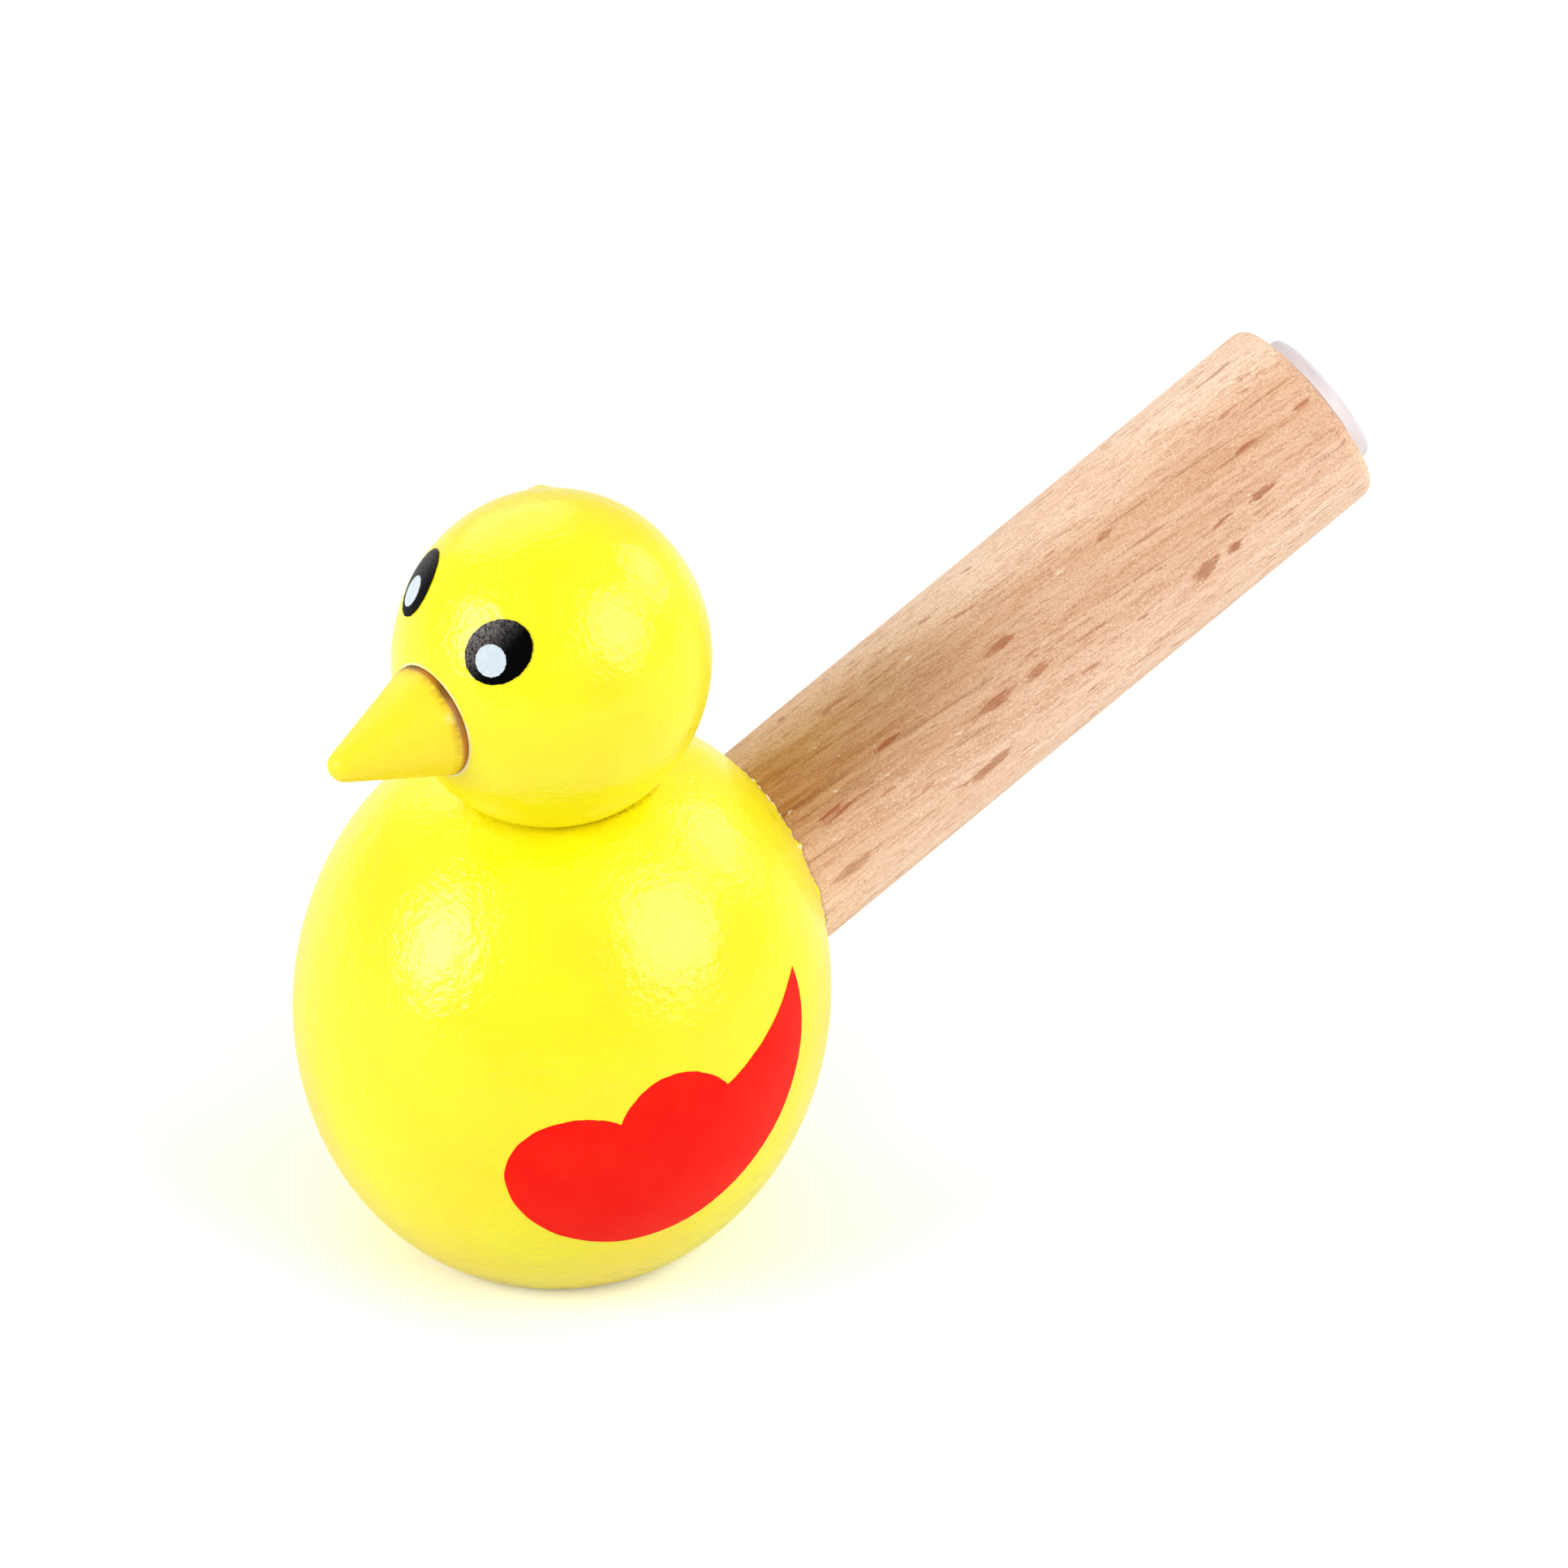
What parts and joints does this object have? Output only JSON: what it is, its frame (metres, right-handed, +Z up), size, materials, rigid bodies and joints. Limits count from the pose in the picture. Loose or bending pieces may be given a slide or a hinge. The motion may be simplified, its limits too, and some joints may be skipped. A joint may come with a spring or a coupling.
{
  "type": "bird whistle",
  "caption": "Wooden toy bird with an egg body and ball head, whose sloping tail is a blowing tube with a small reed in its plastic-lined end.",
  "frame": {"origin": "centre of the flat on the underside of the body that the bird stands on", "axes": "+Z up, the beak towards -X and the tail towards +X, the bird's left side towards -Y"},
  "size_m": [0.0947, 0.0422, 0.065],
  "materials": {
    "yellow_paint": "gloss paint over wood",
    "beak_paint": "satin paint over wood",
    "bare_wood": "sanded, unpainted",
    "sleeve_plastic": "translucent, moulded",
    "reed_plastic": "moulded",
    "red_ink": "pad-printed ink",
    "black_ink": "pad-printed ink",
    "white_ink": "pad-printed ink"
  },
  "bodies": {
    "bird": {"body": "yellow_paint", "head": "yellow_paint", "neck_dowel": "bare_wood", "beak": "beak_paint", "mouthpiece_tube": "bare_wood", "mouthpiece_sleeve": "sleeve_plastic", "reed_bed": "reed_plastic", "reed_wedge": "reed_plastic", "left_wing_print": "red_ink", "right_wing_print": "red_ink", "left_eye_print": "black_ink", "right_eye_print": "black_ink", "left_eye_dot_print": "white_ink", "right_eye_dot_print": "white_ink"},
    "reed": {"reed_tongue": "reed_plastic"}
  },
  "joints": [
    {"name": "reed_bend", "type": "hinge", "parent": "bird", "child": "reed", "pos_m": [0.05403, 0, 0.04042], "axis": [0, 1, 0], "range_deg": [-1.5, 2.5], "stiffness_Nm_per_rad": 0.002}
  ]
}
